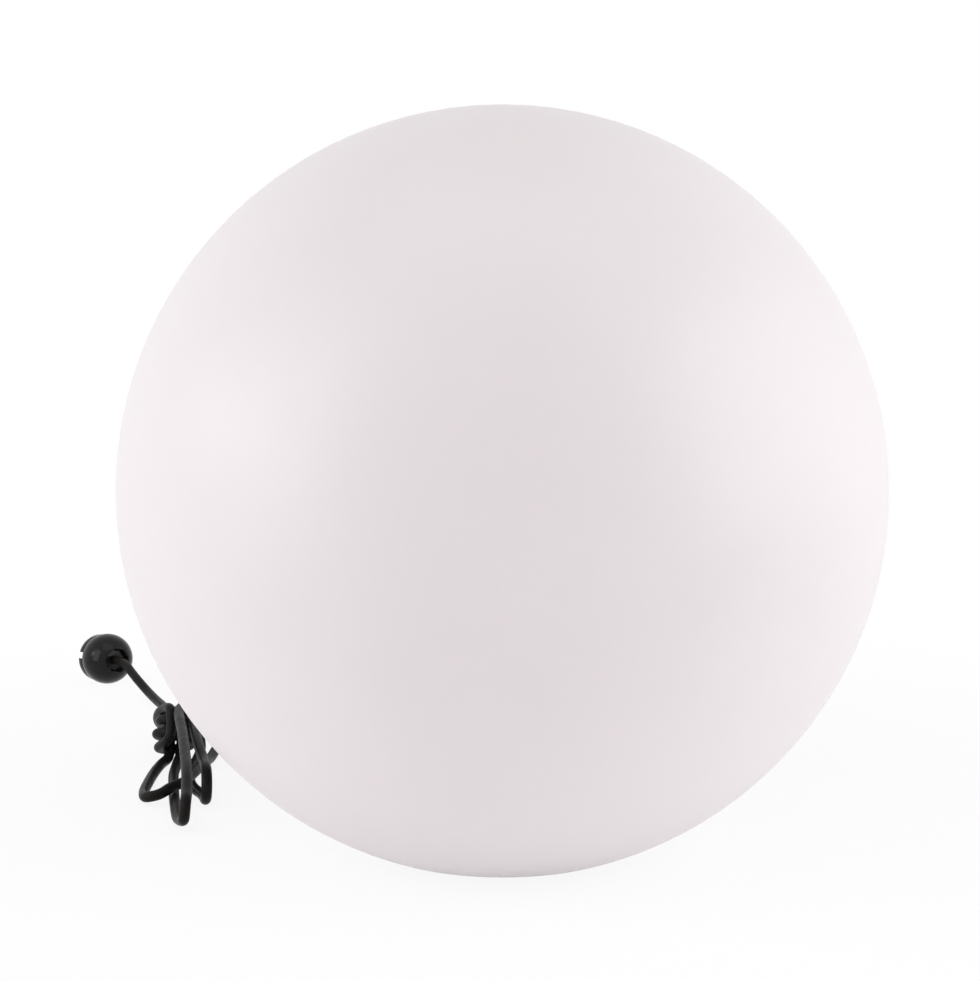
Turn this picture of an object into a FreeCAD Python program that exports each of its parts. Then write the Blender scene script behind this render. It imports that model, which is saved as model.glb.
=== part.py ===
import FreeCAD, Part
import math
import os

# Garden globe light: a frosted plastic globe on a recessed base, a screw-in lamp on a post
# inside it, and a rubber mains cord, wound into a hank and lying behind it, with its plug.
# Millimetres. Origin on the floor under the middle of the globe, +Z up, the cord leaves to +Y.

V = FreeCAD.Vector
UP = V(0, 0, 1)
DOWN = V(0, 0, -1)
BACK = V(0, 1, 0)
ORIGIN = V(0, 0, 0)

# ---- driving dimensions ----------------------------------------------------------------
gap = 0.4                    # running clearance between pieces that come apart
snug = 0.1                   # clearance of pieces that are pushed together once

# globe
globe_radius = 200.0
globe_wall = 3.5
foot_radius = 70.0           # flat ring that the sphere is cut at
foot_clearance = 1.5         # floor to the globe's foot
foot_rounding = 6.0
neck_height = 31.5           # foot to the top of the neck inside
boss_radius = 5.5
boss_height = 12.0

# base
base_radius = 54.5
base_thickness = 4.8
collar_radius = 42.5         # housing wall that the globe's neck drops over
collar_wall = 3.5
collar_height = 28.5
deck_thickness = 3.5
seal_section = 3.0           # round section of the neck seal
seal_drop = 3.5              # deck top to the middle of the seal
ledge_width = 3.5
ledge_height = 2.5
cover_thickness = 2.5
cover_recess = 0.5           # base underside to the cover
cover_seal = 1.0
pillar_radius = 3.6
pillar_circle = 31.0
stake_bore = 16.0            # socket for a ground stake, in the middle of the cover
stake_depth = 12.0
stake_wall = 2.2
wire_hole = 7.0              # radius of the way for the wires up into the post
clamp_y = 26.0
clamp_screw_offset = 9.5
clamp_width = 9.0
clamp_height = 5.5
clamp_gap = 0.3              # each half of the clamp to the parting plane
seal_squeeze = 0.15          # flattened seal to the globe's neck
foot_pad_radius = 5.0
foot_pad_seat = 1.2
foot_pad_circle = 48.5

# screws
globe_screw = 4.0            # thread diameter, four from below into the globe
globe_screw_length = 14.0
insert_radius = 3.0
insert_length = 9.0
small_screw = 3.0            # thread diameter of the housing's own screws
small_screw_length = 8.0
screw_circle = 49.5

# lampholder
post_radius = 19.0
post_wall = 2.5
post_height = 34.0
post_flange_radius = 27.0
post_flange = 3.0
post_screw_circle = 23.0
holder_radius = 20.5
holder_wall = 2.4
holder_cap_height = 16.0
holder_skirt_height = 26.0
core_floor = 7.0
core_wall = 2.0
shell_sheet = 0.6
contact_sheet = 0.8
contact_gap = 0.3            # contact to the lamp's end
terminal_offset = 9.0

# lamp (screw cap of 27 mm)
cap_radius = 13.1
cap_length = 19.0
thread_pitch = 3.63
thread_depth = 0.9
tip_radius = 5.0
tip_height = 1.4
insulator_height = 4.2
lamp_radius = 30.0
lamp_neck_height = 32.0
lamp_wall = 1.2

# cord
cord_diameter = 6.2
exit_height = 15.6           # middle of the cord where it leaves the base
boot_length = 38.0
boot_root_radius = 6.0
boot_tip_radius = 4.2
boot_flange_radius = 7.4
boot_flange = 2.0
boot_rings = 4
channel_clearance = 1.0      # round the strain relief's flange
conductor_radius = 1.2
conductor_spread = 1.5       # middle of the cord to each conductor
block_size = V(16.0, 14.0, 11.0)         # terminal block
block_place = V(-30.0, -10.0, 0)         # its corner nearest the left front
bore_offset = 3.5                        # middle of the block to each bore
bore_height = 5.0

# hank: flat and leaning loops, gathered in a raised waist that the cord's own end winds round
waist_foot = V(-201.5, 165.3, 0)        # where the waist meets the floor, nearest the front
waist_heading = 92.0                    # degrees from +X, the way the waist leans
waist_rise = 60.0                       # degrees that the waist stands up from the floor
winding_radius = 10.2
winding_pitch = 9.2
winding_turns = 2                       # and a quarter
strand_spacing = 0.7                    # free space between neighbouring strands

# plug: round two-pin body with a ball-shaped back
plug_radius = 18.2
plug_face_radius = 17.0
plug_front = 12.5            # middle of the ball to the face
plug_back_radius = 8.9
plug_recess = 4.0
plug_notch_width = 5.8
plug_notch_depth = 3.4
plug_notch_length = 9.0
plug_place = V(-288.0, 401.0, 0)
plug_heading = 128.1         # degrees from +X, the way the pins point
plug_dip = 4.2               # pins point this much below level
plug_roll = 13.0             # notches turned from level
pin_radius = 2.4
pin_length = 19.0
pin_spacing = 19.0
pin_depth = 8.0              # seated in the face
pin_root_radius = 2.0        # thinner part that is seated
face_plate_radius = 13.2
face_plate_depth = 1.6

# ---- derived heights and radii -----------------------------------------------------------
cord_radius = cord_diameter / 2
foot_z = foot_clearance
globe_z = foot_z + math.sqrt(globe_radius ** 2 - foot_radius ** 2)
base_top = foot_z + base_thickness
flange_z = base_top + 1.2                       # underside of the globe's inner flange
deck_top = foot_z + collar_height
deck_z = deck_top - deck_thickness
cavity_radius = collar_radius - collar_wall
neck_inner = collar_radius + gap
cover_z = foot_z + cover_recess
cover_top = cover_z + cover_thickness
ledge_z = cover_top + cover_seal
channel_radius = boot_flange_radius + channel_clearance
holder_z = deck_top + post_height
skirt_z = holder_z + holder_cap_height
core_z = skirt_z - 4.0
core_radius = holder_radius - holder_wall - snug
contact_z = core_z + core_floor
lamp_z = contact_z + contact_sheet + 1.6        # lowest point of the lamp's end contact
cap_z = lamp_z + tip_height + insulator_height
lamp_body_z = cap_z + cap_length
boot_start = collar_radius
boot_end = boot_start + boot_flange + boot_length
seal_z = deck_top - seal_drop
clamp_z = exit_height                    # parting plane between the cord's seat and its bar


# ---- small helpers -------------------------------------------------------------------------
def polar(radius, degrees, z=0.0):
    """Point at an angle from +X, round the Z axis."""
    angle = math.radians(degrees)
    return V(radius * math.cos(angle), radius * math.sin(angle), z)


def unit(vector):
    """Copy of a vector with length one."""
    return vector * (1.0 / vector.Length)


def drum(radius, z0, z1, at=ORIGIN):
    """Upright solid cylinder between two heights."""
    return Part.makeCylinder(radius, z1 - z0, V(at.x, at.y, z0))


def tube(outer, inner, z0, z1, at=ORIGIN):
    """Upright hollow cylinder between two heights."""
    return drum(outer, z0, z1, at).cut(drum(inner, z0 - 1, z1 + 1, at))


def turned(outline):
    """Solid turned round Z from (radius, z) points; a third point pair is an arc's middle."""
    edges = []
    start = outline[0]
    here = start
    for step in list(outline[1:]) + [start]:
        there = step[:2]
        if there == here[:2]:
            continue
        a = V(here[0], 0, here[1])
        b = V(there[0], 0, there[1])
        if len(step) == 4:
            edges.append(Part.Arc(a, V(step[2], 0, step[3]), b).toShape())
        else:
            edges.append(Part.LineSegment(a, b).toShape())
        here = step
    face = Part.Face(Part.Wire(edges))
    return face.revolve(ORIGIN, UP, 360)


def screw(diameter, length, at, axis, head_radius, head_height):
    """Pan-head screw: the head's underside is at the point, the shank runs along the axis."""
    shank = Part.makeCylinder(diameter / 2 - 0.05, length, at, axis)
    head = Part.makeCylinder(head_radius, head_height, at - axis * head_height, axis)
    slot = Part.makeBox(head_radius * 1.5, diameter * 0.22, head_height * 0.5)
    slot.translate(V(-head_radius * 0.75, -diameter * 0.11, 0))
    turn = FreeCAD.Rotation(UP, axis)
    slot.Placement = FreeCAD.Placement(at - axis * head_height, turn).multiply(slot.Placement)
    return head.fuse(shank).removeSplitter().cut(slot)


def arc_edge(start, middle, end):
    """Circular edge through three points."""
    return Part.Arc(start, middle, end).toShape()


def rounded_path(points):
    """Straight runs joined by tangent arcs; gives the edges and the arc radii."""
    edges = []
    radii = []
    here = points[0]
    for before, corner, after in zip(points, points[1:], points[2:]):
        inward = unit(before - corner)
        outward = unit(after - corner)
        half_turn = (math.pi - inward.getAngle(outward)) / 2
        shorter = min((before - corner).Length, (after - corner).Length)
        cut = 0.45 * shorter
        radius = cut / math.tan(half_turn)
        middle = unit(inward + outward)
        depth = radius * (1 / math.cos(half_turn) - 1)
        start = corner + inward * cut
        end = corner + outward * cut
        edges.append(Part.LineSegment(here, start).toShape())
        edges.append(arc_edge(start, corner + middle * depth, end))
        radii.append(radius)
        here = end
    edges.append(Part.LineSegment(here, points[-1]).toShape())
    return edges, radii


def sweep(edges, radius, start, heading):
    """Round solid along a chain of tangent edges."""
    section = Part.Wire(Part.makeCircle(radius, start, heading))
    return Part.Wire(edges).makePipeShell([section], True, False)


def report_tube(name, solid, radius, length):
    """Print how a tube's volume compares with its section times its length."""
    share = solid.Volume / (math.pi * radius ** 2 * length)
    print(f"{name}: length {length:.0f} mm, volume / (section x length) {share:.4f}")


def laid_tube(name, points, radius):
    """Tube along straight runs and tangent arcs, with its radii printed."""
    edges, radii = rounded_path(points)
    solid = sweep(edges, radius, points[0], unit(points[1] - points[0]))
    length = sum(edge.Length for edge in edges)
    report_tube(name, solid, radius, length)
    print(f"{name}: arc radii " + ", ".join(f"{r:.1f}" for r in radii))
    return solid


# ---- globe ---------------------------------------------------------------------------------
def cord_channel(radius, z0, far):
    """Space for the strain relief under the globe: an upside-down U along +Y."""
    arch = Part.makeCylinder(radius, far, V(0, 0, exit_height), BACK)
    below = Part.makeBox(2 * radius, far, exit_height - z0, V(-radius, 0, z0))
    return arch.fuse(below)


def globe_screw_angles():
    """Angles of the four screws that hold the globe, clear of the cord at 90 degrees."""
    return [30, 150, 210, 330]


def globe_shell():
    """Hollow sphere with a flat foot, a recess for the base, a neck and a cord channel."""
    middle = V(0, 0, globe_z)
    reach = 2 * globe_radius
    above_foot = drum(reach, foot_z, 3 * globe_radius)
    outer = Part.makeSphere(globe_radius, middle).common(above_foot)
    rim = [e for e in outer.Edges if abs(e.BoundBox.ZMax - foot_z) < 0.01]
    outer = outer.makeFillet(foot_rounding, rim)
    recess = drum(base_radius + 1.0, foot_z - 1, flange_z)
    neck_top = foot_z + neck_height
    opening = drum(neck_inner, foot_z - 1, neck_top + 1)
    channel = cord_channel(channel_radius, foot_z - 1, globe_radius)
    outer = outer.cut(recess).cut(opening).cut(channel)
    inner = Part.makeSphere(globe_radius - globe_wall, middle)
    inner = inner.common(drum(reach, foot_z + globe_wall, 3 * globe_radius))
    recess_wall = drum(base_radius + 1.0 + globe_wall, 0, flange_z + globe_wall)
    neck_wall = drum(neck_inner + globe_wall, 0, neck_top)
    channel_wall = cord_channel(channel_radius + globe_wall, 0, globe_radius)
    inner = inner.cut(recess_wall).cut(neck_wall).cut(channel_wall)
    for angle in globe_screw_angles():
        at = polar(screw_circle, angle)
        inner = inner.cut(drum(boss_radius, flange_z, flange_z + boss_height, at))
    shell = outer.cut(inner)
    for angle in globe_screw_angles():
        at = polar(screw_circle, angle)
        shell = shell.cut(drum(insert_radius, flange_z - 1, flange_z + insert_length, at))
    return [shell]


def globe_inserts():
    """Threaded brass inserts in the globe's four bosses."""
    bore = globe_screw / 2 + 0.1
    top = flange_z + insert_length
    return [tube(insert_radius, bore, flange_z, top, polar(screw_circle, angle))
            for angle in globe_screw_angles()]


# ---- base ----------------------------------------------------------------------------------
def base_housing():
    """Base disc and the upside-down cup that rises through the globe's neck."""
    body = drum(base_radius, foot_z, base_top).fuse(drum(collar_radius, foot_z, deck_top))
    body = body.cut(drum(cavity_radius, foot_z - 1, deck_z))
    ledge = tube(cavity_radius + 0.5, cavity_radius - ledge_width, ledge_z, ledge_z + ledge_height)
    body = body.fuse(ledge)
    for angle in cover_screw_angles():
        body = body.fuse(drum(pillar_radius, cover_top, deck_z + 0.5, polar(pillar_circle, angle)))
    body = body.fuse(clamp_seat())
    body = body.removeSplitter()
    for angle in cover_screw_angles():
        at = polar(pillar_circle, angle)
        body = body.cut(drum(small_screw / 2, cover_z, cover_top + small_screw_length, at))
    for angle in clamp_screw_sides():
        at = V(angle * clamp_screw_offset, clamp_y, 0)
        body = body.cut(drum(small_screw / 2, clamp_z - 5.0, clamp_z + 1, at))
    for angle in post_screw_angles():
        at = polar(post_screw_circle, angle)
        body = body.cut(drum(small_screw / 2, deck_top - deck_thickness - 1, deck_top + 1, at))
    for angle in globe_screw_angles():
        at = polar(screw_circle, angle)
        body = body.cut(drum(globe_screw / 2 + 0.3, foot_z - 1, base_top + 1, at))
        body = body.cut(drum(globe_screw + 0.4, foot_z - 1, foot_z + 2.6, at))
    for angle in pad_angles():
        at = polar(foot_pad_circle, angle)
        body = body.cut(drum(foot_pad_radius, foot_z - 1, foot_z + foot_pad_seat, at))
    body = body.cut(drum(wire_hole, deck_z - 1, deck_top + 1))
    seat_start = boot_start - collar_wall - boot_flange
    body = body.cut(Part.makeCylinder(boot_flange_radius + snug, boot_flange,
                                      V(0, seat_start, exit_height), BACK))
    bore = Part.makeCylinder(boot_root_radius + snug / 2, base_radius, V(0, 0.5 * collar_radius,
                             exit_height), BACK)
    wall = tube(collar_radius + 1, cavity_radius - ledge_width - 1, 0, deck_z)
    body = body.cut(bore.common(wall))
    groove = tube(collar_radius + 1, collar_radius - 0.55 * seal_section,
                  seal_z - 0.6 * seal_section, seal_z + 0.6 * seal_section)
    return [body.cut(groove)]


def clamp_screw_sides():
    """The clamp's two screws, left and right of the cord."""
    return (-1, 1)


def clamp_seat():
    """Block on the ceiling of the housing that the cord is clamped against."""
    half = clamp_screw_offset + 4.0
    block = Part.makeBox(2 * half, clamp_width, deck_z + 0.5 - clamp_z - clamp_gap,
                         V(-half, clamp_y - clamp_width / 2, clamp_z + clamp_gap))
    seat = Part.makeCylinder(cord_radius + snug / 2, 2 * clamp_width,
                             V(0, clamp_y - clamp_width, exit_height), BACK)
    block = block.cut(seat)
    for side in clamp_screw_sides():
        at = V(side * clamp_screw_offset, clamp_y, 0)
        block = block.cut(drum(small_screw / 2, clamp_z, clamp_z + 6.5, at))
    return block


def cover_screw_angles():
    """Angles of the bottom cover's three screws."""
    return [30, 150, 270]


def post_screw_angles():
    """Angles of the three screws that hold the lampholder's post."""
    return [90, 210, 330]


def pad_angles():
    """Angles of the six rubber pads."""
    return range(0, 360, 60)


def neck_seal():
    """Rubber ring between the base housing and the globe's neck."""
    middle = collar_radius - 0.55 * seal_section + seal_section / 2 + 0.02
    ring = Part.makeTorus(middle, seal_section / 2, V(0, 0, seal_z))
    inside_neck = drum(neck_inner - seal_squeeze, seal_z - seal_section, seal_z + seal_section)
    return [ring.common(inside_neck)]


def base_gasket():
    """Flat foam ring between the base disc and the globe's flange, open at the cord."""
    ring = tube(base_radius - 0.5, base_radius - 1.9, base_top, flange_z)
    return [ring.cut(cord_channel(channel_radius + 0.5, 0, 2 * base_radius))]


def rubber_pads():
    """Six round pads that the light stands on."""
    top = foot_z + foot_pad_seat
    return [turned([(0, 0), (foot_pad_radius - 1.2, 0), (foot_pad_radius - snug, 1.0),
                    (foot_pad_radius - snug, top), (0, top)]).translated(polar(foot_pad_circle, a))
            for a in pad_angles()]


def bottom_cover():
    """Disc that closes the housing from below, with a socket for a ground stake."""
    cover = drum(cavity_radius - gap, cover_z, cover_top)
    boss = drum(stake_bore / 2 + stake_wall, cover_z, cover_z + stake_depth + stake_wall)
    cover = cover.fuse(boss).removeSplitter()
    cover = cover.cut(drum(stake_bore / 2, cover_z - 1, cover_z + stake_depth))
    for angle in cover_screw_angles():
        at = polar(pillar_circle, angle)
        cover = cover.cut(drum(small_screw / 2 + 0.2, cover_z - 1, cover_top + 1, at))
        cover = cover.cut(drum(small_screw + 0.2, cover_z - 1, cover_z + 1.3, at))
    return [cover]


def cover_gasket():
    """Flat rubber ring under the housing's ledge."""
    outer = cavity_radius - gap
    return [tube(outer, outer - ledge_width + gap, cover_top, ledge_z)]


def cover_screws():
    """Three screws that hold the bottom cover."""
    head = cover_z + 1.3
    return [screw(small_screw, small_screw_length, polar(pillar_circle, angle, head), UP,
                  small_screw, 1.25) for angle in cover_screw_angles()]


def globe_screws():
    """Four screws from below that hold the globe to the base."""
    head = foot_z + 2.6
    return [screw(globe_screw, globe_screw_length - 2.5, polar(screw_circle, angle, head), UP,
                  globe_screw, 2.4) for angle in globe_screw_angles()]


# ---- lampholder ----------------------------------------------------------------------------
def holder_post():
    """Tube with a flange that carries the lampholder above the base."""
    post = drum(post_flange_radius, deck_top, deck_top + post_flange)
    post = post.fuse(drum(post_radius, deck_top, holder_z)).removeSplitter()
    post = post.cut(drum(post_radius - post_wall, deck_top + post_flange, holder_z - post_wall))
    post = post.cut(drum(wire_hole, deck_top - 1, holder_z + 1))
    for angle in post_screw_angles():
        at = polar(post_screw_circle, angle)
        post = post.cut(drum(small_screw / 2 + 0.2, deck_top - 1, holder_z, at).cut(
            drum(post_radius, deck_top - 2, holder_z + 1)))
    return [post]


def post_screws():
    """Three screws through the post's flange into the deck."""
    return [screw(small_screw, small_screw_length - 2.0,
                  polar(post_screw_circle, angle, deck_top + post_flange), DOWN,
                  small_screw * 0.9, 1.8) for angle in post_screw_angles()]


def holder_cap():
    """Lower cup of the lampholder, screwed onto the post."""
    cup = turned([(0, holder_z), (holder_radius - 3, holder_z),
                  (holder_radius, holder_z + 3, holder_radius - 0.9, holder_z + 0.9),
                  (holder_radius, skirt_z), (0, skirt_z)])
    cup = cup.cut(drum(holder_radius - holder_wall, holder_z + holder_wall, skirt_z + 1))
    return [cup.cut(drum(wire_hole, holder_z - 1, skirt_z))]


def holder_skirt():
    """Upper ring of the lampholder, round the threaded shell."""
    top = skirt_z + gap + holder_skirt_height
    skirt = turned([(holder_radius - holder_wall, skirt_z + gap), (holder_radius, skirt_z + gap),
                    (holder_radius, top - 2), (holder_radius - 2, top, holder_radius - 0.6, top - 0.6),
                    (holder_radius - holder_wall, top)])
    for angle in range(0, 360, 20):
        at = polar(holder_radius + 0.5, angle)
        skirt = skirt.cut(drum(0.9, skirt_z + 3, top - 5, at))
    return [skirt]


def holder_core():
    """Insulating core: a floor for the contacts and a sleeve for the threaded shell."""
    top = skirt_z + holder_skirt_height - 3
    sleeve_inner = core_radius - core_wall
    core = drum(core_radius, core_z, top)
    core = core.cut(drum(sleeve_inner, contact_z, top + 1))
    for side in (-1, 1):
        at = V(side * terminal_offset, 0, 0)
        core = core.cut(drum(small_screw / 2 + 0.05, core_z - 1, core_z + 5.0, at))
    return [core]


def shell_outline():
    """Radii of the threaded shell's inner and outer faces."""
    outer = core_radius - core_wall - snug
    return outer - shell_sheet, outer


def holder_shell():
    """Rolled brass shell that the lamp screws into."""
    inner, outer = shell_outline()
    z0 = contact_z + 2.0
    rings = 4
    z1 = z0 + rings * thread_pitch
    shell = tube(outer, inner, z0, z1)
    bead = 0.45
    for ring in range(rings):
        z = z0 + (ring + 0.5) * thread_pitch
        shell = shell.fuse(Part.makeTorus(inner + 0.1, bead, V(0, 0, z)))
    return [shell.removeSplitter()]


def centre_contact():
    """Sprung strip that presses on the lamp's end contact."""
    half = 3.0
    low = contact_z
    high = lamp_z - contact_gap
    t = contact_sheet
    outline = [V(-9, 0, low), V(-4.5, 0, low), V(-1.5, 0, high - t), V(3, 0, high - t),
               V(3, 0, high), V(-2.0, 0, high), V(-5.0, 0, low + t), V(-9, 0, low + t)]
    face = Part.Face(Part.makePolygon(outline + [outline[0]]))
    return [face.extrude(V(0, 2 * half, 0)).translated(V(0, -half, 0))]


def holder_terminals():
    """Two screws under the core that take the wires."""
    return [screw(small_screw, 4.5, V(side * terminal_offset, 0, core_z), UP, 2.6, 1.6)
            for side in (-1, 1)]


# ---- lamp ----------------------------------------------------------------------------------
def lamp_tip():
    """End contact of the lamp."""
    top = lamp_z + tip_height
    return [turned([(0, lamp_z), (tip_radius * 0.6, lamp_z),
                    (tip_radius, top, tip_radius * 0.9, lamp_z + 0.4), (0, top)])]


def lamp_insulator():
    """Black glass cone between the end contact and the cap."""
    z0 = lamp_z + tip_height
    return [turned([(0, z0), (tip_radius + 1.5, z0), (cap_radius - 2.5, cap_z), (0, cap_z)])]


def lamp_cap():
    """Threaded metal cap, with its thread as rounded rings."""
    core = cap_radius - thread_depth
    rings = 4
    outline = [(0, cap_z), (core, cap_z)]
    z = cap_z + 1.5
    outline.append((core, z))
    for ring in range(rings):
        peak = z + thread_pitch / 2
        outline.append((core, z + thread_pitch, cap_radius, peak))
        z += thread_pitch
    outline += [(core, lamp_body_z - 1.5), (cap_radius, lamp_body_z - 1.5),
                (cap_radius, lamp_body_z), (0, lamp_body_z)]
    return [turned(outline)]


def lamp_body():
    """Plastic body of the lamp, widening to the dome."""
    z0 = lamp_body_z
    z1 = z0 + lamp_neck_height
    wide = lamp_radius - 2.0
    body = turned([(0, z0), (cap_radius + 1.2, z0), (cap_radius + 1.6, z0 + 6),
                   (wide, z1 - 3, cap_radius + 6.5, z0 + 18), (wide, z1), (0, z1)])
    return [body.cut(drum(wide - 2.5, z1 - 4.0, z1 + 1))]


def led_board():
    """Round board with its light-emitting diodes."""
    z1 = lamp_body_z + lamp_neck_height
    board = drum(lamp_radius - 5.0, z1 - 4.0, z1 - 2.4)
    chips = [Part.makeBox(3, 3, 1.0, polar(15.0, angle, z1 - 2.4) - V(1.5, 1.5, 0))
             for angle in range(0, 360, 45)]
    for chip in chips:
        board = board.fuse(chip)
    return [board]


def lamp_dome():
    """Thin opal dome of the lamp."""
    z0 = lamp_body_z + lamp_neck_height
    wide = lamp_radius - 2.0
    middle = z0 + math.sqrt(lamp_radius ** 2 - wide ** 2)
    above = drum(2 * lamp_radius, z0, z0 + 3 * lamp_radius)
    ball = Part.makeSphere(lamp_radius, V(0, 0, middle))
    hollow = Part.makeSphere(lamp_radius - lamp_wall, V(0, 0, middle))
    return [ball.cut(hollow).common(above)]


# ---- wiring in the base ----------------------------------------------------------------------
def block_z():
    """The terminal block hangs from the housing's ceiling."""
    return deck_z - block_size.z


def block_bores():
    """Middles of the two bores along X through the block."""
    y0 = block_place.y + block_size.y / 2
    return [V(block_place.x, y0 + side * bore_offset, block_z() + bore_height)
            for side in (1, -1)]


def terminal_block():
    """Two-way terminal block."""
    corner = V(block_place.x, block_place.y, block_z())
    block = Part.makeBox(block_size.x, block_size.y, block_size.z, corner)
    for at in block_bores():
        block = block.cut(Part.makeCylinder(2.4, block_size.x + 2, at - V(1, 0, 0), V(1, 0, 0)))
        for share in (0.25, 0.75):
            foot = V(at.x + share * block_size.x, at.y, 0)
            block = block.cut(drum(1.4, block_z() - 1, at.z, foot))
    return [block]


def terminal_tubes():
    """Brass tubes inside the terminal block."""
    tubes = []
    for at in block_bores():
        body = Part.makeCylinder(2.35, block_size.x - 2, at + V(1, 0, 0), V(1, 0, 0))
        bore = Part.makeCylinder(1.5, block_size.x, at, V(1, 0, 0))
        body = body.cut(bore)
        for share in (0.25, 0.75):
            foot = V(at.x + share * block_size.x, at.y, 0)
            body = body.cut(drum(1.3, block_z() - 1, at.z, foot))
        tubes.append(body)
    return tubes


def terminal_screws():
    """Four screws that clamp the wires in the block."""
    screws = []
    for at in block_bores():
        for share in (0.25, 0.75):
            foot = V(at.x + share * block_size.x, at.y, block_z() + 0.6)
            screws.append(Part.makeCylinder(1.25, at.z - conductor_radius - block_z() - 0.7, foot, UP))
    return screws


def cord_end():
    """Sheathed end of the cord, from the clamp through the strain relief."""
    start = V(0, clamp_y - clamp_width / 2 - 2.5, exit_height)
    return [Part.makeCylinder(cord_radius, boot_end - start.y, start, BACK)]


def conductor(name, side, bore_index):
    """Insulated wire from the cord's end into the terminal block."""
    start = V(side * conductor_spread, clamp_y - clamp_width / 2 - 2.5, exit_height)
    bore = block_bores()[bore_index]
    mouth = V(bore.x + block_size.x, bore.y, bore.z)
    points = [start,
              start - V(0, 4.0, 0),
              V(mouth.x + 11.0 + 3.0 * side, 8.0 + 3.0 * side, mouth.z),
              mouth + V(8.5 + 2.5 * side, 0, 0),
              mouth - V(3.0, 0, 0)]
    return [laid_tube(name, points, conductor_radius)]


def holder_wire(name, bore_index, side):
    """Insulated wire from the terminal block up the post to the lampholder."""
    bore = block_bores()[bore_index]
    shift = 2.2 * side
    foot_y = bore.y
    points = [V(bore.x + 3.0, foot_y, bore.z),
              V(bore.x - 2.8, foot_y, bore.z),
              V(bore.x - 2.8, -14.3 - 2.5 * side, deck_z - 14.0),
              V(-10.0 + shift, -14.5 - 1.5 * side, deck_z - 2.6),
              V(shift, -1.0, deck_z - 2.4),
              V(shift, 0, deck_top + 12.0),
              V(shift, 0, holder_z + 4.0),
              V(side * (terminal_offset - 5.2), 0, core_z - 4.8),
              V(side * (terminal_offset - 4.0), 0, core_z - 1.3)]
    return [laid_tube(name, points, conductor_radius)]


def clamp_bar():
    """Bar that holds the cord up against its seat."""
    half = clamp_screw_offset + 4.0
    bar = Part.makeBox(2 * half, clamp_width - 1, clamp_height - 2 * clamp_gap,
                       V(-half, clamp_y - clamp_width / 2 + 0.5,
                         clamp_z - clamp_height + clamp_gap))
    bar = bar.cut(Part.makeCylinder(cord_radius + snug / 2, 2 * clamp_width,
                                    V(0, clamp_y - clamp_width, exit_height), BACK))
    for side in clamp_screw_sides():
        bar = bar.cut(drum(small_screw / 2 + 0.2, 0, clamp_z + 1, V(side * clamp_screw_offset,
                                                                    clamp_y, 0)))
    return [bar]


def clamp_screws():
    """Two screws that draw the bar up."""
    head = clamp_z - clamp_height + clamp_gap
    return [screw(small_screw, small_screw_length + 2.0,
                  V(side * clamp_screw_offset, clamp_y, head), UP, small_screw * 0.85, 1.2)
            for side in clamp_screw_sides()]


def strain_relief():
    """Tapered rubber sleeve where the cord leaves the base."""
    inner_flange = boot_start - collar_wall - boot_flange
    outline = [(cord_radius + snug / 2, inner_flange),
               (boot_flange_radius, inner_flange),
               (boot_flange_radius, inner_flange + boot_flange),
               (boot_root_radius, inner_flange + boot_flange),
               (boot_root_radius, boot_start),
               (boot_flange_radius, boot_start),
               (boot_flange_radius, boot_start + boot_flange)]
    step = boot_length / (boot_rings + 0.5)
    start = boot_start + boot_flange
    for ring in range(boot_rings):
        share = ring / boot_rings
        radius = boot_root_radius + (boot_tip_radius - boot_root_radius) * share
        y = start + ring * step
        outline += [(radius, y), (radius - 0.15, y + 0.62 * step),
                    (radius - 1.2, y + 0.66 * step), (radius - 1.2, y + 0.96 * step)]
    outline += [(boot_tip_radius, start + boot_rings * step), (boot_tip_radius - 0.2, boot_end),
                (cord_radius + snug / 2, boot_end)]
    sleeve = turned(outline)
    turn = FreeCAD.Rotation(UP, BACK)
    sleeve.Placement = FreeCAD.Placement(V(0, 0, exit_height), turn)
    return [sleeve]


# ---- free cord -------------------------------------------------------------------------------
def lamp_lead_points():
    """Route from the strain relief, down to the floor and round the back of the globe."""
    return [V(0, boot_end, exit_height),
            V(0, boot_end + 20, exit_height),
            V(-2, boot_end + 50, exit_height - 9.5),
            V(-19, 172, cord_radius),
            V(-54, 208, cord_radius),
            V(-104, 230, cord_radius),
            V(-146, 238, cord_radius),
            V(-176, 222, cord_radius),
            hank_start() + V(0, 22, 0),
            hank_start()]


def hank_start():
    """Point beside the waist where the cord from the lamp runs into the hank."""
    return V(-180, 176, cord_radius)


def plug_lead_points():
    """Route from the wound waist along the floor and up into the plug's back."""
    back = plug_axis() * -1
    entry = plug_middle() + back * (plug_back_plane() - plug_recess)
    end, heading = hank_nodes()[-1]
    return [end,
            end + unit(heading) * 24,
            V(-222, 272, 4.0),
            V(-230.3, 306, cord_radius),
            V(-244.3, 338, cord_radius),
            entry + back * 30 + V(0, -4, -8),
            entry + back * 14,
            entry]


def waist_frame():
    """Directions of the waist: along it, to its right, and out towards the front and up."""
    angle = math.radians(waist_heading)
    rise = math.radians(waist_rise)
    ahead = V(math.cos(angle), math.sin(angle), 0)
    side = V(math.sin(angle), -math.cos(angle), 0)
    along = ahead * math.cos(rise) + UP * math.sin(rise)
    out = ahead * -math.sin(rise) + UP * math.cos(rise)
    return along, side, out


def waist_point(along, across, out):
    """Point of the waist: along its axis, to the right of it and out from it."""
    a, s, n = waist_frame()
    foot = winding_radius * math.cos(math.radians(waist_rise)) + cord_radius
    return waist_foot + UP * foot + a * along + s * across + n * out


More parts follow.
